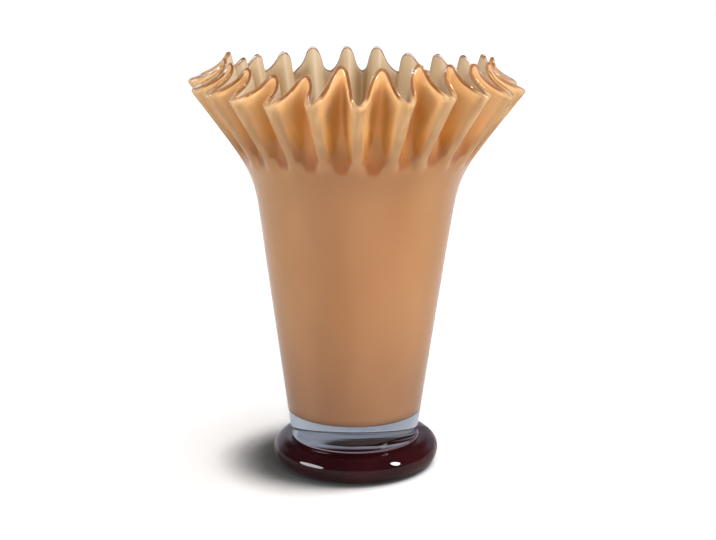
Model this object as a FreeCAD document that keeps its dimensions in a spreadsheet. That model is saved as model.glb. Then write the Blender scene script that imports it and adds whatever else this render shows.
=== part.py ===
import FreeCAD, Part
import math
import os

import Sketcher
from FreeCAD import Placement, Rotation, Vector

# A pleated fan vase of cased glass. It is made of four pieces fused together hot: a round disc
# foot, a clear casing with a thick solid base, a caramel layer and a pale opal lining.
# Millimetres, +Z up. The origin is the middle of the foot's flat underside, on the table.
# Azimuth is counted in turns from the front (-Y) towards +X.
#
# All three wall pieces are drawn from one surface, the one where clear and caramel glass meet.
# Its section is a straight line from the foot to the shoulder, and above the shoulder it splits
# into two curves: the rib line, where a pleat folds outward, and the crest line, where it folds
# inward. Every other surface of the wall is a true offset of that one.

SIZES = (
    ("foot_radius", 50.8, "outside radius of the foot"),
    ("foot_thickness", 17.2, "height of the foot, whose edge is a full round"),
    ("base_radius", 37.3, "colour surface, radius where its line meets the top of the foot"),
    ("base_height", 16.0, "solid clear glass between the foot and the caramel layer"),
    ("base_corner", 1.3, "rounding of the clear base where it meets the foot"),
    ("bowl_corner", 6.0, "rounding of the caramel layer's lower edge"),
    ("shoulder_radius", 55.6, "colour surface, radius at the top of the straight body"),
    ("shoulder_height", 149.0, "height of the top of the straight body above the table"),
    ("knee_radius", 60.1, "colour surface, radius of the bend between body and fan"),
    ("knee_height", 181.7, "height of the bend between body and fan"),
    ("rib_radius", 97.3, "colour surface, radius of an outward fold at the rim"),
    ("rib_height", 230.6, "height of an outward fold at the rim"),
    ("crest_knee_radius", 67.5, "colour surface, radius of the bend in an inward fold"),
    ("crest_knee_height", 206.0, "height of the bend in an inward fold"),
    ("crest_radius", 78.6, "colour surface, radius of an inward fold at the rim"),
    ("crest_height", 245.9, "height of an inward fold at the rim"),
    ("length_unevenness", 3.0, "how much longer or shorter than the mean a fold made by hand is"),
    ("casing_wall", 1.4, "thickness of the clear casing"),
    ("caramel_wall", 0.8, "thickness of the caramel layer"),
    ("opal_wall", 0.7, "thickness of the opal lining"),
    ("foot_offset", 0.9, "how far the body stands to the left of the foot's centre"),
    ("fan_shift", 3.0, "how far the body leans to the right by the height of the crests"),
    ("pleat_count", 24, "number of pleats"),
)

# Where folding starts and is complete, as shares of the way from the shoulder to the rim.
FOLD_START_SHARE = 0.53
FOLD_FULL_SHARE = 0.70
# The pleats' wave, in radius and in height, as two shares: how square it is, where 0 is nearly a
# sine, and how much narrower an outward fold is than an inward fold, where 0 is as wide.
RADIUS_WAVE_SHARES = (1.45, 0.3)
HEIGHT_WAVE_SHARES = (0.8, -0.2)

# Unevenness of the folds, from the front towards +X. Each pair is an outward fold, then the
# inward fold beside it. Directions are shares of a pleat, and lengths of length_unevenness.
DIRECTION_SHARES = (
    (-0.01, 0.08), (0.06, 0.07), (0.01, 0.07), (-0.01, 0.08), (0.15, 0.08), (0.10, 0.03),
    (-0.10, -0.20), (-0.05, -0.25), (-0.08, -0.17), (-0.11, -0.11), (-0.06, -0.07), (0.00, -0.05),
    (-0.10, -0.12), (-0.26, -0.01), (-0.27, -0.01), (-0.18, 0.06), (-0.08, -0.20), (-0.15, -0.25),
    (-0.15, 0.12), (0.00, -0.02), (0.10, 0.04), (-0.02, 0.05), (-0.04, 0.04), (-0.01, 0.04),
)
LENGTH_SHARES = (
    (-1.00, 0.25), (-0.35, 0.85), (0.55, 0.50), (0.45, 0.25), (-0.55, 0.00), (-0.20, -0.50),
    (-1.10, 0.10), (0.00, 0.25), (0.00, -0.40), (-0.25, -0.55), (-0.10, -0.60), (0.10, 0.70),
    (0.25, 0.80), (0.25, 0.80), (0.00, -0.10), (-0.10, -0.30), (0.35, -0.65), (0.80, 1.00),
    (1.25, 0.30), (0.00, -0.15), (-0.05, -0.50), (-0.50, -1.40), (-1.20, -1.15), (-0.65, 0.75),
)

# How finely the surfaces are described.
POINTS_PER_PLEAT = 16
CORNER_ROWS = 5
BODY_ROWS = 3
NECK_ROWS = 4
FAN_ROWS = 18
BEAD_ROWS = 9
EDGE_ROWS = 3
# The step, as a share of a pleat or of a line, over which a surface's slopes are measured.
SLOPE_SHARE = 1e-4
# How level an edge has to be to count as flat.
FLATNESS = 1e-4


def make_sheet(doc):
    """The driving dimensions, one row each: name, value, meaning."""
    sheet = doc.addObject("Spreadsheet::Sheet", "Dimensions")
    for row, (alias, value, meaning) in enumerate(SIZES, 1):
        sheet.set(f"A{row}", alias)
        sheet.set(f"B{row}", str(value))
        sheet.set(f"C{row}", meaning)
        sheet.setAlias(f"B{row}", alias)
    doc.recompute()
    return sheet


def share_at(pairs, turn):
    """The share at a direction: a smooth closed curve through all the folds' shares."""
    values = [share for pair in pairs for share in pair]
    place = turn * len(values)
    first = math.floor(place)
    a, b, c, d = (values[(first + k) % len(values)] for k in (-1, 0, 1, 2))
    f = place - first
    return b + f * (c - a + f * (2 * a - 5 * b + 4 * c - d + f * (3 * b - 3 * c + d - a))) / 2


def bezier(controls, f):
    """A point of the cubic curve with these four control points of (radius, height)."""
    g = 1 - f
    weights = (g * g * g, 3 * g * g * f, 3 * g * f * f, f * f * f)
    return [sum(w * p[axis] for w, p in zip(weights, controls)) for axis in (0, 1)]


def line_end(controls):
    """The direction, as (radius, height), in which a curve with these controls ends."""
    run, climb = (controls[-1][axis] - controls[-2][axis] for axis in (0, 1))
    length = math.hypot(run, climb)
    return run / length, climb / length


def smooth_step(low, high, value):
    """0 below low, 1 above high, and a smooth rise between them."""
    f = min(max((value - low) / (high - low), 0.0), 1.0)
    return f * f * f * (f * (6 * f - 15) + 10)


class Wall:
    """The colour surface of the wall and everything that is worked out from it."""

    def __init__(self, sheet):
        for alias, _, _ in SIZES:
            setattr(self, alias, float(sheet.get(alias)))
        self.pleats = int(round(self.pleat_count))
        self.rise = self.shoulder_height - self.foot_thickness
        self.taper = math.atan2(self.shoulder_radius - self.base_radius, self.rise)
        shoulder = (self.shoulder_radius, self.shoulder_height)
        knee = (self.knee_radius, self.knee_height)
        crest_knee = (self.crest_knee_radius, self.crest_knee_height)
        self.rib_line = (shoulder, knee, knee, (self.rib_radius, self.rib_height))
        self.crest_line = (shoulder, knee, crest_knee, (self.crest_radius, self.crest_height))
        self.rib_end, self.crest_end = line_end(self.rib_line), line_end(self.crest_line)
        self.lining = self.caramel_wall + self.opal_wall

    def axis_shift(self, z):
        """How far the glass stands to the right of the foot's centre at a height."""
        return self.fan_shift * (z / self.crest_height) ** 2 - self.foot_offset

    def place(self, radius, z, turn):
        """The point at a radius and height in one direction from the leaning axis."""
        angle = 2 * math.pi * turn
        x = self.axis_shift(z) + radius * math.sin(angle)
        return Vector(x, -radius * math.cos(angle), z)

    def cone_point(self, turn, z):
        """A point of the colour surface on the straight body."""
        radius = self.base_radius + (z - self.foot_thickness) * math.tan(self.taper)
        return self.place(radius, z, turn)

    def inward_swing(self, turn, squareness, narrowness):
        """The pleats' wave: 0 on an outward fold and 1 on an inward fold."""
        swing = math.cos(2 * math.pi * self.pleats * turn)
        rib, here, crest = (math.tanh(squareness * (end - narrowness)) for end in (1, swing, -1))
        return (rib - here) / (rib - crest)

    def fan_point(self, turn, f):
        """A point of the colour surface, f of the way from the shoulder to the rim.

        The pleats' wave moves the point from the rib line to the crest line. Each line ends
        longer or shorter by its fold's own share.
        """
        folded = smooth_step(FOLD_START_SHARE, FOLD_FULL_SHARE, f)
        longer = folded * f * f * f * self.length_unevenness * share_at(LENGTH_SHARES, turn)
        rib = [p + longer * way for p, way in zip(bezier(self.rib_line, f), self.rib_end)]
        crest = [p + longer * way for p, way in zip(bezier(self.crest_line, f), self.crest_end)]
        inward = folded * self.inward_swing(turn, *RADIUS_WAVE_SHARES)
        upward = folded * self.inward_swing(turn, *HEIGHT_WAVE_SHARES)
        radius = rib[0] + inward * (crest[0] - rib[0])
        height = rib[1] + upward * (crest[1] - rib[1])
        direction = turn + folded * share_at(DIRECTION_SHARES, turn) / self.pleats
        return self.place(radius, height, direction)

    def frame_at(self, surface, turn, level):
        """The surface's point, its outward normal and its direction along the ring."""
        step = SLOPE_SHARE / self.pleats
        along = surface(turn + step, level) - surface(turn - step, level)
        up = surface(turn, level + SLOPE_SHARE) - surface(turn, level - SLOPE_SHARE)
        normal = along.cross(up).normalize()
        return surface(turn, level), normal, along.normalize()

    def ring(self, point_at):
        """One closed row of points round the vase."""
        count = self.pleats * POINTS_PER_PLEAT
        return [point_at(k / count) for k in range(count)]

    def offset_ring(self, surface, level, inset):
        """A row of points that lie inset inside the colour surface."""
        def point_at(turn):
            point, normal, _ = self.frame_at(surface, turn, level)
            return point - normal * inset
        return self.ring(point_at)

    def sheet_of_glass(self, inset, rounding, floor):
        """Three bands of rows: a rounded lower edge, the round body, and the fan up to the rim.

        inset is how far the surface lies inside the colour surface, rounding is the radius of
        its lower edge, and floor is the height of its flat bottom.
        """
        centre_z = floor + rounding
        centre_r = self.base_radius + (centre_z - self.foot_thickness) * math.tan(self.taper)
        centre_r -= (inset + rounding) / math.cos(self.taper)
        quarter = math.pi / 2 - self.taper
        corner = []
        for row in range(CORNER_ROWS):
            angle = quarter * row / (CORNER_ROWS - 1)
            radius = centre_r + rounding * math.sin(angle)
            z = centre_z - rounding * math.cos(angle)
            corner.append(self.ring(lambda turn: self.place(radius, z, turn)))
        start = centre_z - (inset + rounding) * math.sin(self.taper)
        body = [corner[-1]]
        for row in range(1, BODY_ROWS):
            z = start + (self.shoulder_height - start) * row / BODY_ROWS
            body.append(self.offset_ring(self.cone_point, z, inset))
        for row in range(NECK_ROWS):
            body.append(self.offset_ring(self.fan_point, FOLD_START_SHARE * row / NECK_ROWS, inset))
        fan = []
        for row in range(FAN_ROWS + 1):
            f = FOLD_START_SHARE + (1 - FOLD_START_SHARE) * row / FAN_ROWS
            fan.append(self.offset_ring(self.fan_point, f, inset))
        body.append(fan[0])
        return corner, body, fan

    def rim_bead(self):
        """Rows round the fire-polished rim, from the outer surface over to the inner one."""
        middle = (self.casing_wall - self.lining) / 2
        radius = (self.casing_wall + self.lining) / 2
        rows = []
        for row in range(BEAD_ROWS):
            angle = math.pi * row / (BEAD_ROWS - 1)

            def point_at(turn):
                point, normal, along = self.frame_at(self.fan_point, turn, 1)
                across = along.cross(normal) * -1
                reach = normal * math.cos(angle) + across * math.sin(angle)
                return point + normal * middle + reach * radius
            rows.append(self.ring(point_at))
        return rows

    def rim_edge(self, outer, inner):
        """Rows straight through the wall at the rim, from one inset to another."""
        steps = (outer + (inner - outer) * row / (EDGE_ROWS - 1) for row in range(EDGE_ROWS))
        return [self.offset_ring(self.fan_point, 1, inset) for inset in steps]


def smooth_face(rows):
    """One face through closed rows of points, smooth along the rows and across them."""
    around = [float(k) for k in range(len(rows[0]) + 1)]
    curves = []
    for row in rows:
        curve = Part.BSplineCurve()
        curve.interpolate(Points=row, PeriodicFlag=True, Parameters=around)
        curves.append(curve)
    across = [0.0]
    for one, other in zip(rows, rows[1:]):
        gaps = [a.distanceToPoint(b) for a, b in zip(one, other)]
        across.append(across[-1] + sum(gaps) / len(gaps))
    poles = []
    for column in zip(*(curve.getPoles() for curve in curves)):
        curve_across = Part.BSplineCurve()
        curve_across.interpolate(Points=list(column), Parameters=across)
        poles.append(curve_across.getPoles())
    surface = Part.BSplineSurface()
    surface.buildFromPolesMultsKnots(
        poles, curves[0].getMultiplicities(), curve_across.getMultiplicities(),
        curves[0].getKnots(), curve_across.getKnots(), True, False,
        curves[0].Degree, curve_across.Degree)
    return surface.toShape()


def flat_face(face, height):
    """The flat face that closes a band at the edge that lies at one height."""
    edges = [edge for edge in face.Edges if edge.BoundBox.ZLength < FLATNESS]
    edge = min(edges, key=lambda candidate: abs(candidate.BoundBox.ZMin - height))
    return Part.Face(Part.Wire([edge]))


def closed_solid(bands, floors):
    """The solid inside a chain of bands, closed by a flat face at each end."""
    faces = [smooth_face(band) for band in bands]
    ends = [flat_face(face, floor) for face, floor in zip((faces[0], faces[-1]), floors)]
    shell = Part.Compound(faces + ends)
    shell.sewShape()
    solid = Part.Solid(shell.Shells[0])
    if solid.Volume < 0:
        solid.reverse()
    return solid


def wall_piece(wall, outer, rim_bands, inner):
    """A layer of the wall between an outer and an inner surface.

    Each surface is given as its inset, the rounding of its lower edge and its floor.
    """
    going_up = wall.sheet_of_glass(*outer)
    coming_down = [band[::-1] for band in wall.sheet_of_glass(*inner)[::-1]]
    return closed_solid([*going_up, *rim_bands, *coming_down], (outer[2], inner[2]))


def clear_casing(wall):
    """The clear gather: solid base, skin over the wall and the bead over the rim."""
    outer = (-wall.casing_wall, wall.base_corner, wall.foot_thickness)
    inner = (0, wall.bowl_corner, wall.foot_thickness + wall.base_height)
    return wall_piece(wall, outer, (wall.rim_bead(), wall.rim_edge(wall.lining, 0)), inner)


def colour_layer(wall, outer_inset, inner_inset):
    """A layer inside the casing, from one inset to another, closed under the bowl."""
    floor = wall.foot_thickness + wall.base_height
    outer = (outer_inset, wall.bowl_corner - outer_inset, floor + outer_inset)
    inner = (inner_inset, wall.bowl_corner - inner_inset, floor + inner_inset)
    return wall_piece(wall, outer, (wall.rim_edge(outer_inset, inner_inset),), inner)


def add_wall_piece(doc, name, shape):
    """A document object that holds one layer of the wall."""
    piece = doc.addObject("Part::Feature", name)
    piece.Shape = shape
    piece.Placement = Placement(Vector(0, 0, 0), Rotation())
    piece.Label = name
    return piece


def add_foot(doc, sheet):
    """The disc foot: a half section turned once round the axis, its edge a full round."""
    body = doc.addObject("PartDesign::Body", "foot")
    body.Label = "foot"
    sketch = body.newObject("Sketcher::SketchObject", "FootSection")
    plane = next(f for f in body.Origin.OriginFeatures if f.Role == "XZ_Plane")
    sketch.AttachmentSupport = [(plane, "")]
    sketch.MapMode = "FlatFace"
    radius = float(sheet.get("foot_radius"))
    thickness = float(sheet.get("foot_thickness"))
    flat, edge = radius - thickness / 2, thickness / 2
    sketch.addGeometry(Part.LineSegment(Vector(0, 0, 0), Vector(flat, 0, 0)))
    circle = Part.Circle(Vector(flat, edge, 0), Vector(0, 0, 1), edge)
    sketch.addGeometry(Part.ArcOfCircle(circle, -math.pi / 2, math.pi / 2))
    sketch.addGeometry(Part.LineSegment(Vector(flat, thickness, 0), Vector(0, thickness, 0)))
    sketch.addGeometry(Part.LineSegment(Vector(0, thickness, 0), Vector(0, 0, 0)))
    bottom, arc, top, axis, start, end = 0, 1, 2, 3, 1, 2
    sketch.addConstraint([
        Sketcher.Constraint("Coincident", bottom, start, -1, start),
        Sketcher.Constraint("Tangent", bottom, end, arc, start),
        Sketcher.Constraint("Tangent", arc, end, top, start),
        Sketcher.Constraint("Coincident", top, end, axis, start),
        Sketcher.Constraint("Coincident", axis, end, bottom, start),
        Sketcher.Constraint("Horizontal", bottom),
        Sketcher.Constraint("Horizontal", top),
        Sketcher.Constraint("Vertical", axis),
    ])
    width = sketch.addConstraint(Sketcher.Constraint("DistanceX", bottom, start, bottom, end, flat))
    sketch.setExpression(
        f"Constraints[{width}]", "Dimensions.foot_radius - Dimensions.foot_thickness / 2")
    height = sketch.addConstraint(Sketcher.Constraint("DistanceY", axis, end, axis, start, thickness))
    sketch.setExpression(f"Constraints[{height}]", "Dimensions.foot_thickness")
    turned = body.newObject("PartDesign::Revolution", "FootTurned")
    turned.Profile = sketch
    turned.ReferenceAxis = (sketch, ["V_Axis"])
    turned.Angle = 360.0
    body.Placement = Placement(Vector(0, 0, 0), Rotation())
    return body


def check(doc, pieces):
    """Stop if any object failed or a piece isn't one valid solid."""
    for item in doc.Objects:
        if "Invalid" in item.State or "Error" in item.State:
            raise RuntimeError(f"{item.Name} failed: {item.State}")
    for piece in pieces:
        shape = piece.Shape
        if shape.isNull() or not shape.isValid() or len(shape.Solids) != 1:
            raise RuntimeError(f"{piece.Label} isn't one valid solid")
        if shape.Volume <= 0:
            raise RuntimeError(f"{piece.Label} is inside out")


def main():
    os.makedirs("parts", exist_ok=True)
    doc = FreeCAD.newDocument("FanVase")
    sheet = make_sheet(doc)
    wall = Wall(sheet)
    pieces = [
        add_foot(doc, sheet),
        add_wall_piece(doc, "clear_casing", clear_casing(wall)),
        add_wall_piece(doc, "caramel_layer", colour_layer(wall, 0, wall.caramel_wall)),
        add_wall_piece(doc, "opal_lining", colour_layer(wall, wall.caramel_wall, wall.lining)),
    ]
    doc.recompute()
    check(doc, pieces)
    for piece in pieces:
        box = piece.Shape.BoundBox
        print(piece.Label, "volume", round(piece.Shape.Volume / 1000, 1), "cm3, box",
              [round(v, 2) for v in (box.XMin, box.XMax, box.YMin, box.YMax, box.ZMin, box.ZMax)])
        piece.Shape.exportStep(f"parts/{piece.Label}.step")


main()
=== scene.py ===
import math

import bpy
import numpy as np
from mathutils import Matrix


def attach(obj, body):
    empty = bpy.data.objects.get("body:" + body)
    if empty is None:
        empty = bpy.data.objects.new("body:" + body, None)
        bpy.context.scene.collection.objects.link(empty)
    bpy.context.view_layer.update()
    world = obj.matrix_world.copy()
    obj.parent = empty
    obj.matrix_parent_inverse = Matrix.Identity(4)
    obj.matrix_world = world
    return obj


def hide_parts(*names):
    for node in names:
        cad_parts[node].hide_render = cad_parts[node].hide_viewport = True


# A pleated fan vase of cased glass on a burgundy disc foot. Metres, +Z up, with the front at -Y.
# Every wall piece is worked out from the surface where clear and caramel glass meet.

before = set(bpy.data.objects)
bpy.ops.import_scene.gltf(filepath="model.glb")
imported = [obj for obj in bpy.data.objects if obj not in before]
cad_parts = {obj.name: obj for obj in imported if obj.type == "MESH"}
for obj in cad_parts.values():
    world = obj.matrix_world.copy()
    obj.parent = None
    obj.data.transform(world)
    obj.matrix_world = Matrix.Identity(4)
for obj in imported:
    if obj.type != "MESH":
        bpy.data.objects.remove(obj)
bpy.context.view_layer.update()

MM = 0.001
BODY = "root"

# The foot and the clear base.
FOOT_RADIUS = 50.8 * MM
FOOT_THICKNESS = 17.2 * MM
BASE_RADIUS = 37.3 * MM
BASE_HEIGHT = 16.0 * MM
BASE_CORNER = 1.3 * MM
BOWL_CORNER = 6.0 * MM

# The section of the colour surface, as (radius, height).
SHOULDER = (55.6 * MM, 149.0 * MM)
KNEE = (60.1 * MM, 181.7 * MM)
RIB_END = (97.3 * MM, 230.6 * MM)
CREST_KNEE = (67.5 * MM, 206.0 * MM)
CREST_END = (78.6 * MM, 245.9 * MM)
RIB_LINE = (SHOULDER, KNEE, KNEE, RIB_END)
CREST_LINE = (SHOULDER, KNEE, CREST_KNEE, CREST_END)
TAPER = math.atan2(SHOULDER[0] - BASE_RADIUS, SHOULDER[1] - FOOT_THICKNESS)

# The layers of the wall.
CASING_WALL = 1.4 * MM
CARAMEL_WALL = 0.8 * MM
OPAL_WALL = 0.7 * MM
LINING = CARAMEL_WALL + OPAL_WALL

# The pleats, with the shares of the way up the fan at which folding begins and is complete.
PLEATS = 24
FOLD_START_SHARE = 0.53
FOLD_FULL_SHARE = 0.70
# The pleats' wave in radius and in height: how square it is, near 0 being a cosine, and how
# much narrower an outward fold is than an inward one.
RADIUS_WAVE_SHARES = (1.45, 0.3)
HEIGHT_WAVE_SHARES = (0.8, -0.2)

# How far the body stands off the foot's middle, towards -X, and how far the fan's top leans
# back towards +X.
FOOT_OFFSET = 0.9 * MM
FAN_SHIFT = 3.0 * MM

# How uneven the folds are, from the front towards +X. Each pair is an outward fold, then the
# inward fold beside it: how far it turns aside, as a share of a pleat, and how much further it
# runs, as a share of the unevenness.
LENGTH_UNEVENNESS = 3.0 * MM
DIRECTION_SHARES = (
    (-0.01, 0.08), (0.06, 0.07), (0.01, 0.07), (-0.01, 0.08), (0.15, 0.08), (0.10, 0.03),
    (-0.10, -0.20), (-0.05, -0.25), (-0.08, -0.17), (-0.11, -0.11), (-0.06, -0.07), (0.00, -0.05),
    (-0.10, -0.12), (-0.26, -0.01), (-0.27, -0.01), (-0.18, 0.06), (-0.08, -0.20), (-0.15, -0.25),
    (-0.15, 0.12), (0.00, -0.02), (0.10, 0.04), (-0.02, 0.05), (-0.04, 0.04), (-0.01, 0.04),
)
LENGTH_SHARES = (
    (-1.00, 0.25), (-0.35, 0.85), (0.55, 0.50), (0.45, 0.25), (-0.55, 0.00), (-0.20, -0.50),
    (-1.10, 0.10), (0.00, 0.25), (0.00, -0.40), (-0.25, -0.55), (-0.10, -0.60), (0.10, 0.70),
    (0.25, 0.80), (0.25, 0.80), (0.00, -0.10), (-0.10, -0.30), (0.35, -0.65), (0.80, 1.00),
    (1.25, 0.30), (0.00, -0.15), (-0.05, -0.50), (-0.50, -1.40), (-1.20, -1.15), (-0.65, 0.75),
)

# Fused glass has no gap, so each inner piece reaches this far into the one outside it.
FUSED = 0.04 * MM
# The same at the rim, as a share of the way from the shoulder.
RIM_FUSED_SHARE = 0.0004

# How finely the surfaces are drawn, and where rows cross the flat floor of the bowl and the
# flats of the foot, as shares of the way out to the round edge.
COLUMNS = PLEATS * 32
BOWL_FLAT_SHARES = (0.4, 0.8)
FOOT_FLAT_SHARES = (0.5, 0.9)
CORNER_ROWS = 7
BODY_ROWS = 8
NECK_ROWS = 8
FAN_ROWS = 32
BEAD_ROWS = 13
FOOT_EDGE_ROWS = 33

# The small step over which a surface's directions are measured.
STEP = 1e-5


def share_at(pairs, turn):
    """The share at each turn: a smooth closed (Catmull-Rom) curve through all the folds."""
    values = np.array(pairs).ravel()
    position = turn * len(values)
    first = np.floor(position).astype(int)
    a, b, c, d = (values[(first + k) % len(values)] for k in (-1, 0, 1, 2))
    f = position - first
    return b + f * (c - a + f * (2 * a - 5 * b + 4 * c - d + f * (3 * b - 3 * c + d - a))) / 2


def bezier(controls, f):
    """Radius and height on the cubic curve with these four control points."""
    g = 1 - f
    weights = (g ** 3, 3 * g * g * f, 3 * g * f * f, f ** 3)
    return [sum(w * p[axis] for w, p in zip(weights, controls)) for axis in (0, 1)]


def smooth_step(low, high, value):
    """0 below low, 1 above high, and a smooth rise (a quintic) between them."""
    f = np.clip((value - low) / (high - low), 0, 1)
    return f ** 3 * (f * (6 * f - 15) + 10)


def place(radius, z, turn):
    """Points at a radius and height, in a direction counted in turns, from the leaning axis."""
    angle = 2 * np.pi * turn
    x = FAN_SHIFT * (z / CREST_END[1]) ** 2 - FOOT_OFFSET + radius * np.sin(angle)
    return np.stack(np.broadcast_arrays(x, -radius * np.cos(angle), z), -1)


def cone_radius(z):
    """Radius of the colour surface on the straight body."""
    return BASE_RADIUS + (z - FOOT_THICKNESS) * math.tan(TAPER)


def cone_point(turn, z):
    """The colour surface on the straight body: a cone from the foot to the shoulder."""
    return place(cone_radius(z), z, turn)


def line_end(controls):
    """The direction, as (radius, height), in which a curve with these controls ends."""
    run, climb = np.subtract(controls[-1], controls[-2])
    return run / math.hypot(run, climb), climb / math.hypot(run, climb)


def inward_swing(turn, squareness, narrowness):
    """0 on an outward fold and 1 on an inward fold: a cosine squared off by tanh."""
    swing = np.cos(2 * np.pi * PLEATS * turn)
    rib, here, crest = (np.tanh(squareness * (end - narrowness)) for end in (1, swing, -1))
    return (rib - here) / (rib - crest)


def fan_point(turn, f):
    """The colour surface above the shoulder, f of the way to the rim.

    The swing moves each point from the rib line to the crest line, once folding has begun.
    Each line ends longer or shorter by its fold's own share.
    """
    folded = smooth_step(FOLD_START_SHARE, FOLD_FULL_SHARE, f)
    longer = folded * f ** 3 * LENGTH_UNEVENNESS * share_at(LENGTH_SHARES, turn)
    rib = [p + longer * way for p, way in zip(bezier(RIB_LINE, f), line_end(RIB_LINE))]
    crest = [p + longer * way for p, way in zip(bezier(CREST_LINE, f), line_end(CREST_LINE))]
    inward = folded * inward_swing(turn, *RADIUS_WAVE_SHARES)
    upward = folded * inward_swing(turn, *HEIGHT_WAVE_SHARES)
    radius = rib[0] + inward * (crest[0] - rib[0])
    height = rib[1] + upward * (crest[1] - rib[1])
    return place(radius, height, turn + folded * share_at(DIRECTION_SHARES, turn) / PLEATS)


def frame_of(surface, turn, level):
    """Points of a surface, outward normals and directions along the ring, by differences."""
    along = surface(turn + STEP, level) - surface(turn - STEP, level)
    up = surface(turn, level + STEP) - surface(turn, level - STEP)
    normal = np.cross(along, up)
    normal /= np.linalg.norm(normal, axis=-1, keepdims=True)
    along /= np.linalg.norm(along, axis=-1, keepdims=True)
    return surface(turn, level), normal, along


TURNS = np.arange(COLUMNS) / COLUMNS
FAN_LEVELS = np.concatenate([
    np.linspace(0, FOLD_START_SHARE, NECK_ROWS + 1)[:-1],
    np.linspace(FOLD_START_SHARE, 1, FAN_ROWS + 1)])


def offset_rows(surface, levels, inset):
    """Closed rows that lie inset inside the colour surface, one for each level."""
    turn, level = np.meshgrid(TURNS, levels)
    point, normal, _ = frame_of(surface, turn, level)
    return point - normal * inset


def floor_rows(inset, rounding, floor):
    """Rows from the middle of a flat floor out to the rounded edge where the wall starts.

    The edge is an arc that meets the floor and the sloping wall without a crease.
    """
    centre_z = floor + rounding
    centre_r = cone_radius(centre_z) - (inset + rounding) / math.cos(TAPER)
    flat = [place(centre_r * share, floor, TURNS) for share in BOWL_FLAT_SHARES]
    angles = np.linspace(0, math.pi / 2 - TAPER, CORNER_ROWS)
    edge = [place(centre_r + rounding * math.sin(a), centre_z - rounding * math.cos(a), TURNS)
            for a in angles]
    return np.array(flat + edge), centre_z - (inset + rounding) * math.sin(TAPER)


def glass_sheet(inset, rounding, floor, top):
    """All rows of one side of a wall piece, from the middle of its floor to its top."""
    bottom, start = floor_rows(inset, rounding, floor)
    heights = np.linspace(start, SHOULDER[1], BODY_ROWS + 1)[1:-1]
    body = offset_rows(cone_point, heights, inset)
    fan = offset_rows(fan_point, FAN_LEVELS * top, inset)
    return np.concatenate([bottom, body, fan])


def rim_bead():
    """Rows over the fire-polished rim: half a circle round the middle of the wall's edge."""
    middle = (CASING_WALL - LINING) / 2
    radius = (CASING_WALL + LINING) / 2
    angle = np.linspace(0, math.pi, BEAD_ROWS)[1:, None]
    point, normal, along = frame_of(fan_point, TURNS, 1.0)
    across = np.cross(normal, along)
    reach = normal * np.cos(angle)[..., None] + across * np.sin(angle)[..., None]
    return point + normal * middle + reach * radius


def fold_shares(rows):
    """How far each point of these rows is on an outward fold, from 0 to 1."""
    return np.broadcast_to(1 - inward_swing(TURNS, *HEIGHT_WAVE_SHARES), rows.shape[:2])


def closed_mesh(name, rows, shares):
    """A closed piece through closed rows, with a single point at each end of the chain."""
    count, columns = rows.shape[:2]
    poles = np.array([rows[0].mean(0), rows[-1].mean(0)])
    points = np.concatenate([rows.reshape(-1, 3), poles])
    index = np.arange(count * columns).reshape(count, columns)
    beside = np.roll(index, -1, axis=1)
    quads = np.stack([index[:-1], beside[:-1], beside[1:], index[1:]], -1).reshape(-1, 4)
    first, last = count * columns, count * columns + 1
    fans = np.concatenate([
        np.stack([np.full(columns, first), beside[0], index[0]], -1),
        np.stack([np.full(columns, last), index[-1], beside[-1]], -1)])
    loops = np.concatenate([quads.ravel(), fans.ravel()])
    starts = np.concatenate([np.arange(len(quads)) * 4, quads.size + np.arange(len(fans)) * 3])
    mesh = bpy.data.meshes.new(name)
    mesh.vertices.add(len(points))
    mesh.vertices.foreach_set("co", points.ravel())
    mesh.loops.add(len(loops))
    mesh.loops.foreach_set("vertex_index", loops)
    mesh.polygons.add(len(starts))
    mesh.polygons.foreach_set("loop_start", starts)
    mesh.polygons.foreach_set("use_smooth", np.ones(len(starts), bool))
    for label, values in shares.items():
        ends = [values[0].mean(), values[-1].mean()]
        spread = mesh.attributes.new(label, "FLOAT", "POINT")
        spread.data.foreach_set("value", np.concatenate([values.ravel(), ends]))
    mesh.update(calc_edges=True)
    mesh.validate()
    piece = bpy.data.objects.new(name, mesh)
    bpy.context.collection.objects.link(piece)
    return piece


def wall_piece(name, outer, rim, inner):
    """A closed wall piece from its two sides, each as (inset, rounding, floor, top).

    Rows over the rim may lie between them. Each point carries how far it is on an outward
    fold and how far up the fan, both from 0 to 1.
    """
    rows = np.concatenate([glass_sheet(*outer), *rim, glass_sheet(*inner)[::-1]])
    below_fan = np.zeros(len(BOWL_FLAT_SHARES) + CORNER_ROWS + BODY_ROWS - 1)
    over_rim = np.ones(sum(len(part) for part in rim))
    levels = np.concatenate([below_fan, FAN_LEVELS, over_rim, FAN_LEVELS[::-1], below_fan])
    shares = {
        "fold": fold_shares(rows),
        "height": np.broadcast_to(levels[:, None], rows.shape[:2])}
    return closed_mesh(name, rows, shares)


def make_casing():
    """The clear gather: solid base, skin over the wall and bead over the rim."""
    outer = (-CASING_WALL, BASE_CORNER, FOOT_THICKNESS - FUSED, 1)
    inner = (0, BOWL_CORNER, FOOT_THICKNESS + BASE_HEIGHT, 1)
    return wall_piece("clear_casing_glass", outer, (rim_bead(),), inner)


def make_layer(name, outer_inset, inner_inset):
    """A layer of the lining from one inset to another, closed under the bowl."""
    floor = FOOT_THICKNESS + BASE_HEIGHT
    top = 1 + RIM_FUSED_SHARE
    outer = (outer_inset, BOWL_CORNER - outer_inset, floor + outer_inset, top)
    inner = (inner_inset, BOWL_CORNER - inner_inset, floor + inner_inset, top)
    return wall_piece(name, outer, (), inner)


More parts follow.
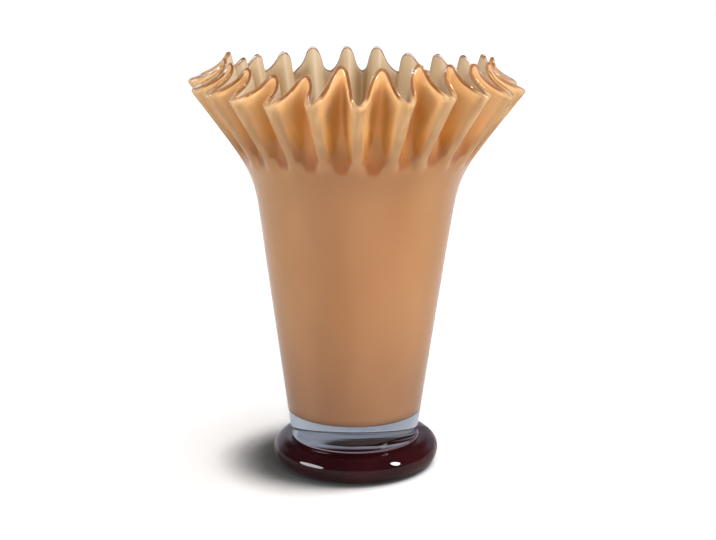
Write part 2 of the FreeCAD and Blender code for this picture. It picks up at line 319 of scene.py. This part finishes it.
def make_foot():
    """The disc foot: flat above and below, and its edge half a circle in section."""
    edge = FOOT_THICKNESS / 2
    flat = FOOT_RADIUS - edge
    angles = np.linspace(-math.pi / 2, math.pi / 2, FOOT_EDGE_ROWS)
    inner_radii = flat * np.array(FOOT_FLAT_SHARES)
    radii = np.concatenate([inner_radii, flat + edge * np.cos(angles), inner_radii[::-1]])
    heights = np.concatenate([
        np.zeros(len(inner_radii)), edge + edge * np.sin(angles),
        np.full(len(inner_radii), FOOT_THICKNESS)])
    angle = 2 * np.pi * TURNS
    rows = np.stack(np.broadcast_arrays(
        radii[:, None] * np.sin(angle), -radii[:, None] * np.cos(angle), heights[:, None]), -1)
    return closed_mesh("burgundy_foot", rows, {})


class Value:
    """A value that changes over a surface. Python's operators on it add Math nodes."""

    def __init__(self, shader, socket):
        self.shader = shader
        self.socket = socket

    def maths(self, operation, *others):
        return self.shader.add("ShaderNodeMath", {"operation": operation}, [self, *others])

    def __add__(self, other):
        return self.maths("ADD", other)

    def __mul__(self, other):
        return self.maths("MULTIPLY", other)

    def __sub__(self, other):
        return self.maths("SUBTRACT", other)

    def __rsub__(self, other):
        return self.shader.add("ShaderNodeMath", {"operation": "SUBTRACT"}, [other, self])

    def __pow__(self, other):
        return self.maths("POWER", other)

    __radd__ = __add__
    __rmul__ = __mul__

    def maximum(self, other):
        return self.maths("MAXIMUM", other)

    def between(self, low, high):
        """0 below low, 1 above high, smooth between."""
        return self.shader.add(
            "ShaderNodeMapRange", {"interpolation_type": "SMOOTHSTEP"},
            {"Value": self, "From Min": low, "From Max": high})


class Shader:
    """A material's or a world's nodes, added one by one."""

    def __init__(self, owner, output):
        self.owner = owner
        self.owner.use_nodes = True
        self.tree = self.owner.node_tree
        self.tree.nodes.clear()
        self.output = self.tree.nodes.new(output)

    def add(self, kind, settings, inputs, output=0):
        """A node with its settings made first, then its inputs set or linked."""
        node = self.tree.nodes.new(kind)
        for label, value in settings.items():
            setattr(node, label, value)
        pairs = inputs.items() if isinstance(inputs, dict) else enumerate(inputs)
        for label, value in pairs:
            if isinstance(value, Value):
                self.tree.links.new(value.socket, node.inputs[label])
            else:
                node.inputs[label].default_value = value
        return Value(self, node.outputs[output])

    def place(self):
        """Object coordinates: the vase's own metres."""
        return self.add("ShaderNodeTexCoord", {}, {}, "Object")

    def along(self, vector, axis):
        """One of a vector's three parts."""
        return self.add("ShaderNodeSeparateXYZ", {}, [vector], axis)

    def noise(self, scale, detail, stretch=(1, 1, 1)):
        """A soft random value round 0.5. Its grain is longer along an axis scaled by less."""
        vector = self.add("ShaderNodeMapping", {}, {"Vector": self.place(), "Scale": stretch})
        return self.add("ShaderNodeTexNoise", {}, {
            "Vector": vector, "Scale": scale, "Detail": detail})

    def share(self, label):
        """One of the shares that a piece's mesh carries: its fold or its height on the fan."""
        return self.add("ShaderNodeAttribute", {"attribute_name": label}, {}, "Fac")

    def ray(self, kind):
        """What the light path says of the ray that looks at this surface."""
        return self.add("ShaderNodeLightPath", {}, {}, kind)

    def mix(self, factor, a, b):
        """Colour a where factor is 0 and b where it is 1."""
        settings = {"data_type": "RGBA"}
        return self.add("ShaderNodeMix", settings, {0: factor, 6: a, 7: b}, 2)

    def bump(self, height, distance, strength):
        """The normal of a surface raised by a height from 0 to 1 times a distance."""
        return self.add("ShaderNodeBump", {}, {
            "Height": height, "Distance": distance, "Strength": strength})

    def principled(self, **inputs):
        """The Principled shader, with its sockets' names written with underscores."""
        sockets = {label.replace("_", " "): value for label, value in inputs.items()}
        return self.add("ShaderNodeBsdfPrincipled", {}, sockets)

    def surface(self, value):
        """The material or world, finished with this shader."""
        self.tree.links.new(value.socket, self.output.inputs["Surface"])
        return self.owner

    def volume(self, value):
        """Fill the piece with this volume shader."""
        self.tree.links.new(value.socket, self.output.inputs["Volume"])


def new_material(name):
    return Shader(bpy.data.materials.new(name), "ShaderNodeOutputMaterial")


def colour(r, g, b):
    """A linear colour from the 0 to 255 values that a screen shows."""
    def linear(v):
        v /= 255
        return v / 12.92 if v <= 0.04045 else ((v + 0.055) / 1.055) ** 2.4
    return (linear(r), linear(g), linear(b), 1.0)


def grey(level):
    """A grey of this linear brightness."""
    return (level, level, level, 1.0)


def caramel_glass():
    """Caramel glass under the casing.

    The straight body is milky caramel, browner towards the foot, and lighter honey at its sides,
    a painted light. On the fan the outward folds are pale and streaked, and the inward folds are
    dense orange, partly from the glass's thickness and partly painted light that glows through
    and between the folds, with brown, rounded lower ends of painted shade and duller walls.
    Towards the rim, where the glass thins, the outward folds fade to tan and the rest to light
    yellow, partly a painted glow of light through it, and a thin brown line runs along the rim of
    the inward folds.
    """
    s = new_material("caramel_glass")
    fold, height = s.share("fold"), s.share("height")
    across, level = s.along(s.place(), "X"), s.along(s.place(), "Z")
    cloud = s.noise(26.0, 4.0, (1, 1, 0.35)).between(0.3, 0.7)
    streak = s.noise(160.0, 3.0, (1, 1, 0.07)).between(0.35, 0.75)

    brown = s.mix(cloud, colour(150, 102, 62), colour(163, 115, 75))
    caramel = s.mix(cloud, colour(172, 117, 66), colour(182, 129, 80))
    honey = s.mix(cloud, colour(190, 138, 80), colour(200, 152, 96))
    above_foot = level.between(35 * MM, 120 * MM)
    # Painted light: the body's sides turn lighter, yellower honey.
    painted_side_light = (across * across).between(0, (44 * MM) ** 2) * level.between(20 * MM, 150 * MM)
    body = s.mix(above_foot, brown, caramel)
    body = s.mix(painted_side_light * 0.8, body, honey)

    outward = s.mix(streak, colour(182, 138, 90), colour(194, 155, 106))
    # Painted light: the inward folds' orange is partly denser glass and partly light glowing
    # through and between the folds, brightest in their middle.
    middle = s.mix(cloud, colour(248, 176, 88), colour(252, 190, 108))
    wall = s.mix(cloud, colour(233, 166, 86), colour(239, 180, 106))
    on_wall = fold.between(0.1, 0.65)
    # Painted shade: the inward folds darken to brown at their lower ends.
    above_painted_end_shade = level.between(192 * MM, 216 * MM)
    inward = s.mix(above_painted_end_shade, colour(162, 92, 18), s.mix(on_wall, middle, wall))
    # Colours of the rim zone, where the glass thins: partly a painted glow of light through it.
    tan = s.mix(streak, colour(204, 156, 100), colour(214, 173, 122))
    rim = s.mix(fold.between(0.86, 0.97), colour(240, 192, 132), tan)

    on_fan = height.between(0.55, 0.82)
    pleated = (height - fold * fold * 0.11 + (cloud - 0.5) * 0.03).between(0.56, 0.59)
    in_fold = pleated * (1 - fold.between(0.905, 0.965))
    # Painted glow: lighter towards the rim, where light shines through the thinning glass.
    painted_rim_glow = (height + fold * fold * 0.06).between(0.82, 1.0)
    rim_line = height.between(0.9955, 0.998) * (1 - fold.between(0.75, 0.95))
    shade = s.mix(in_fold, s.mix(on_fan, body, outward), inward)
    shade = s.mix(painted_rim_glow, shade, rim)
    shade = s.mix(rim_line, shade, colour(150, 92, 40))
    return s.surface(s.principled(Base_Color=shade, Roughness=0.55, Specular_IOR_Level=0.1))


def opal_glass():
    """Peach opal glass with a soft sheen, a painted glow towards the rim and brown along its
    edge.
    """
    s = new_material("opal_glass")
    height = s.share("height")
    cloud = s.noise(22.0, 3.0, (1, 1, 0.5)).between(0.3, 0.7)
    peach = s.mix(cloud, colour(216, 184, 140), colour(224, 197, 157))
    # Painted glow: paler towards the rim, where light shines through the thin edges.
    painted_rim_glow = height.between(0.85, 0.99) * 0.35
    rim_line = height.between(0.993, 0.996)
    shade = s.mix(painted_rim_glow, peach, colour(232, 208, 176))
    shade = s.mix(rim_line, shade, colour(166, 116, 76))
    ripple = s.bump(s.noise(60.0, 2.0, (1, 1, 0.4)), 0.4 * MM, 0.2)
    return s.surface(s.principled(
        Base_Color=shade, Roughness=0.45, Specular_IOR_Level=0.25, Normal=ripple))


GLASS_IOR = 1.5
GLASS_TINT = (0.313, 0.392, 0.522, 1.0)
TINT_DENSITY = 20.0


def clear_glass():
    """Clear fire-polished glass, grey-blue through its thickness. Lamps reach through it.

    It is a little wavy, and crinkled along the rim, most finely at the tips of the outward
    folds.
    """
    s = new_material("clear_glass")
    height = s.share("height")
    at_tip = height.between(0.93, 1.0) * s.share("fold").between(0.8, 0.97)
    at_rim = height.between(0.96, 0.995)
    wave = s.noise(18.0, 1.0)
    tip_crinkle = s.noise(700.0, 2.0) * at_tip * 2.5
    rim_crinkle = s.noise(300.0, 2.0) * at_rim * 1.2
    relief = s.bump(wave + tip_crinkle + rim_crinkle, 1.2 * MM, 0.5)
    glass = s.principled(Base_Color=grey(1.0), Roughness=0.0, IOR=GLASS_IOR,
                         Transmission_Weight=1.0, Normal=relief)
    open_glass = s.add("ShaderNodeBsdfTransparent", {}, {})
    s.volume(s.add("ShaderNodeVolumeAbsorption", {}, {
        "Color": GLASS_TINT, "Density": TINT_DENSITY}))
    return s.surface(s.add("ShaderNodeMixShader", {}, [
        s.ray("Is Shadow Ray"), glass, open_glass]))


def burgundy_glass():
    """Burgundy glass, so deep that it is nearly opaque, with a fire-polished skin.

    Under the clear base, where the two glasses are fused, the red is lighter. Bright glossy
    streaks lie in its back part, most of them on the left, their pale colour a painted sheen, and
    a pale ring of painted highlight marks the joint.
    """
    s = new_material("burgundy_glass")
    here = s.place()
    x, y = s.along(here, "X"), s.along(here, "Y")
    out = (x * x + y * y) ** 0.5
    base_edge = BASE_RADIUS + CASING_WALL
    bare = out.between(base_edge - 1.1 * MM, base_edge - 0.3 * MM)
    # Painted highlight: a pale ring where the clear base's edge meets the foot.
    painted_joint_highlight = out.between(base_edge - 0.7 * MM, base_edge - 0.2 * MM) * (
        1 - out.between(base_edge + 0.1 * MM, base_edge + 0.5 * MM))
    cloud = s.noise(35.0, 3.0).between(0.35, 0.7)
    gloss_and_painted_sheen_at_left = 1 - x.between(-20 * MM, 0)
    at_back = y.between(-28 * MM, -12 * MM)
    # Painted sheen: the streaks are pale blue-white in colour and also glossy, most of them on
    # the left.
    streak = (s.noise(80.0, 5.0, (0.25, 1, 1)) + gloss_and_painted_sheen_at_left * 0.2).between(0.44, 0.6) * at_back
    deep = s.mix(cloud, colour(38, 8, 12), colour(54, 14, 18))
    fused = s.mix(streak, colour(84, 16, 16), colour(236, 240, 255))
    shade = s.mix(painted_joint_highlight, s.mix(bare, fused, deep), colour(176, 148, 156))
    skin = streak.maximum(bare * 0.5)
    ripple = s.bump(s.noise(40.0, 2.0), 0.4 * MM, 0.15)
    return s.surface(s.principled(
        Base_Color=shade, Roughness=0.5, Specular_IOR_Level=0.0, Normal=ripple,
        Coat_Weight=skin, Coat_Roughness=0.03, Coat_IOR=GLASS_IOR))


# The floor is a square of white paper. It throws light back at its plain level, and where it
# is looked at it carries a painted shadow close to the vase, away from the key lamp, and is
# over-exposed in the open. Gloss and glass show only a share of that.
FLOOR_HALF = 6.0
PLAIN_PAPER = 0.7
SHADED_PAPER = 0.18
OPEN_PAPER = 1.62
SHARE_IN_GLOSS = 0.45
SHARE_THROUGH_GLASS = 0.4
SHADE_REACH = 54 * MM
SHADE_SAMPLES = 16
TOWARDS_KEY = (0.8, -0.1, 0.6)


def white_paper():
    """White paper with a painted shadow, brighter where it is looked at than where it throws
    light back.
    """
    s = new_material("white_paper")
    in_gloss = s.ray("Is Glossy Ray") * SHARE_IN_GLOSS
    through_glass = s.ray("Is Transmission Ray") * SHARE_THROUGH_GLASS
    seen = s.ray("Is Camera Ray").maximum(in_gloss).maximum(through_glass)
    first = 1 - s.ray("Diffuse Depth").between(0, 1)
    towards_key = s.add("ShaderNodeCombineXYZ", {}, TOWARDS_KEY)
    # Painted shadow: the floor darkens near the vase, on the side away from the key lamp.
    open_sky = s.add("ShaderNodeAmbientOcclusion", {"samples": SHADE_SAMPLES}, {
        "Distance": SHADE_REACH, "Normal": towards_key}, "AO")
    seen_with_painted_shadow = s.mix(open_sky.between(0.56, 0.94), grey(SHADED_PAPER), grey(OPEN_PAPER))
    shade = s.mix(seen * first, grey(PLAIN_PAPER), seen_with_painted_shadow)
    return s.surface(s.add("ShaderNodeBsdfDiffuse", {}, {"Color": shade}))


def make_floor():
    mesh = bpy.data.meshes.new("floor")
    corners = ((-1, -1), (1, -1), (1, 1), (-1, 1))
    points = [(FLOOR_HALF * x, FLOOR_HALF * y, 0) for x, y in corners]
    mesh.from_pydata(points, [], [(0, 1, 2, 3)])
    floor = bpy.data.objects.new("floor", mesh)
    bpy.context.collection.objects.link(floor)
    mesh.materials.append(white_paper())


# What surrounds the vase: the fill that lights it, brightest round the horizon, and what its
# gloss shows, a lilac-grey backdrop behind it and dark elsewhere. Through glass the world is
# white, and half as bright near the top.
HORIZON_FILL = 0.6
TOP_FILL = 0.12
GLOSS_BACKDROP = (0.70, 0.67, 0.78, 1.0)
GLOSS_DARK = (0.10, 0.11, 0.13, 1.0)
TOP_THROUGH_GLASS = 0.5


def make_world():
    """White to the camera, with a light of its own for the vase, its gloss and its glass."""
    world = bpy.data.worlds.new("studio")
    bpy.context.scene.world = world
    s = Shader(world, "ShaderNodeOutputWorld")
    sight = s.add("ShaderNodeTexCoord", {}, {}, "Generated")
    climb, behind = s.along(sight, "Z"), s.along(sight, "Y")
    dark = climb.between(0.3, 0.56).maximum(1 - behind.between(0.3, 0.75))
    mirrored = s.mix(dark, GLOSS_BACKDROP, GLOSS_DARK)
    fill = s.mix(climb.between(0.2, 0.6), grey(HORIZON_FILL), grey(TOP_FILL))
    through_glass = s.mix(climb.between(0.5, 0.9), grey(1.0), grey(TOP_THROUGH_GLASS))
    first = 1 - s.ray("Diffuse Depth").between(0, 1)
    shade = s.mix(s.ray("Is Glossy Ray") * first, fill, mirrored)
    shade = s.mix(s.ray("Is Transmission Ray") * first, shade, through_glass)
    shade = s.mix(s.ray("Is Camera Ray"), shade, grey(1.0))
    s.surface(s.add("ShaderNodeBackground", {}, {"Color": shade, "Strength": 1.0}))


# Soft lamps light the vase and don't show in its gloss. Each has a name, its azimuth from the
# front towards +X and its elevation in degrees, its strength, and how many degrees wide it looks.
SOFT_LAMPS = (
    ("key", 72, 46, 2.0, 100),
    ("left_card", -75, 12, 0.9, 60),
    ("front_card", 0, 10, 0.8, 60),
    ("right_card", 55, 8, 0.45, 60),
)
# Oval windows show only in its gloss. Each has a name, its azimuth and elevation, its width and
# height in metres, and its power.
WINDOWS = (
    ("right_window", 58.8, 26.5, 0.24, 0.60, 20),
    ("left_window", -62, 7.5, 0.80, 0.46, 18),
    ("back_window", 152.6, 58.5, 0.15, 0.15, 4),
)
LAMP_DISTANCE = 1.2


def add_lamp(name, kind, azimuth, elevation):
    """A lamp that shines from an azimuth and elevation, in degrees, towards the vase."""
    azimuth, elevation = math.radians(azimuth), math.radians(elevation)
    lamp = bpy.data.objects.new(name, bpy.data.lights.new(name, kind))
    bpy.context.collection.objects.link(lamp)
    lamp.rotation_euler = (math.pi / 2 - elevation, 0, azimuth)
    out = LAMP_DISTANCE * math.cos(elevation)
    lamp.location = (out * math.sin(azimuth), -out * math.cos(azimuth),
                     LAMP_DISTANCE * math.sin(elevation))
    return lamp


def make_lights():
    for name, azimuth, elevation, strength, width in SOFT_LAMPS:
        lamp = add_lamp(name, "SUN", azimuth, elevation)
        lamp.data.energy = strength
        lamp.data.angle = math.radians(width)
        lamp.visible_glossy = False
    for name, azimuth, elevation, width, height, power in WINDOWS:
        lamp = add_lamp(name, "AREA", azimuth, elevation)
        lamp.data.shape = "ELLIPSE"
        lamp.data.size = width
        lamp.data.size_y = height
        lamp.data.energy = power
        lamp.visible_camera = lamp.visible_diffuse = lamp.visible_transmission = False


# The camera, as fitted to the photo of 716 x 540 pixels. Its tilt is in radians.
PHOTO_WIDTH = 716
FOCAL_PIXELS = 1392.0
CAMERA_DISTANCE = 842.9 * MM
CAMERA_TILT = 0.225
AIM_HEIGHT = 120.2 * MM
AIM_RIGHT = 1.4 * MM
SENSOR_WIDTH = 36.0


def make_camera():
    data = bpy.data.cameras.new("camera")
    data.sensor_width = SENSOR_WIDTH
    data.lens = SENSOR_WIDTH * FOCAL_PIXELS / PHOTO_WIDTH
    camera = bpy.data.objects.new("camera", data)
    bpy.context.collection.objects.link(camera)
    back, rise = math.cos(CAMERA_TILT), math.sin(CAMERA_TILT)
    camera.location = (AIM_RIGHT, -CAMERA_DISTANCE * back, AIM_HEIGHT + CAMERA_DISTANCE * rise)
    camera.rotation_euler = (math.pi / 2 - CAMERA_TILT, 0, 0)
    bpy.context.scene.camera = camera


def dress(piece, node, material):
    """A finished piece stands for its CAD node: it takes its material and joins the body."""
    piece.data.materials.append(material)
    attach(piece, BODY)
    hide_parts(node)


make_camera()
make_world()
make_lights()
make_floor()
dress(make_casing(), "clear_casing", clear_glass())
dress(make_layer("caramel_layer_glass", -FUSED, CARAMEL_WALL), "caramel_layer",
      caramel_glass())
dress(make_layer("opal_lining_glass", CARAMEL_WALL - FUSED, LINING), "opal_lining",
      opal_glass())
dress(make_foot(), "foot", burgundy_glass())
bpy.context.scene.view_settings.view_transform = "Standard"
